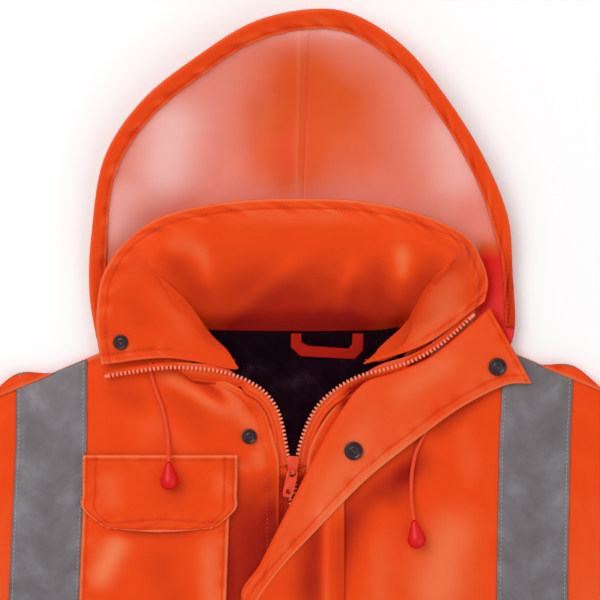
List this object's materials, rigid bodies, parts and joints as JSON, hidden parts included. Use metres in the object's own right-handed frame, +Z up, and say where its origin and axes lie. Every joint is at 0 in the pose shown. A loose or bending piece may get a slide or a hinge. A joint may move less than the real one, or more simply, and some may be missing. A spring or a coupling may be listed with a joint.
{
  "type": "hi-vis work jacket",
  "caption": "Hooded hi-vis work jacket laid on its back, collar turned out, zip part open under a turned-back storm flap, chest pocket and grey reflective tapes.",
  "frame": {"origin": "middle of the laid-out jacket's outline, on the surface it lies on", "axes": "+Z up from the surface, +Y from the hem to the hood, +X towards the wearer's left sleeve"},
  "size_m": [1.538, 1.0275, 0.0413],
  "materials": {
    "orange": "coated woven polyester, fluorescent orange-red, soft sheen",
    "orange_dark": "woven tape, orange-red in shade",
    "coating": "back of the orange cloth with a pale satin waterproof coating",
    "reflective": "glass-bead reflective tape, satin grey",
    "lining": "dark textured lining, matt",
    "zip": "moulded plastic zip, orange",
    "rubber": "soft red rubber, satin",
    "snap": "dark press stud, satin"
  },
  "bodies": {
    "jacket": {"back": "orange", "collar": "orange", "cord_end_left": "rubber", "cord_end_right": "rubber", "drawcord_left": "orange", "drawcord_right": "orange", "front_left": "orange", "front_right": "orange", "hanger_loop": "orange_dark", "hood_left": "coating", "hood_right": "coating", "hood_rim": "orange", "lining": "lining", "pocket": "orange", "pocket_flap": "orange", "sleeve_left": "orange", "sleeve_right": "orange", "snap_cap_1": "snap", "snap_cap_2": "snap", "snap_cap_3": "snap", "snap_cap_4": "snap", "snap_cap_5": "snap", "snap_socket_chest": "snap", "snap_socket_collar": "snap", "snap_stud_chest": "snap", "snap_stud_collar": "snap", "storm_flap": "orange", "tape_back_left": "reflective", "tape_back_right": "reflective", "tape_front_left": "reflective", "tape_front_right": "reflective", "zip_slider": "zip", "zip_tape_left": "orange", "zip_tape_right": "orange", "zip_teeth_left": "zip", "zip_teeth_right": "zip"},
    "pull_tab": {"zip_pull": "zip"}
  },
  "joints": [
    {"name": "pull_tab_hinge", "type": "hinge", "parent": "jacket", "child": "pull_tab", "pos_m": [0, 0.18735, 0.0135], "axis": [-0.9744, 0.225, 0], "range_deg": [0, 160]}
  ]
}
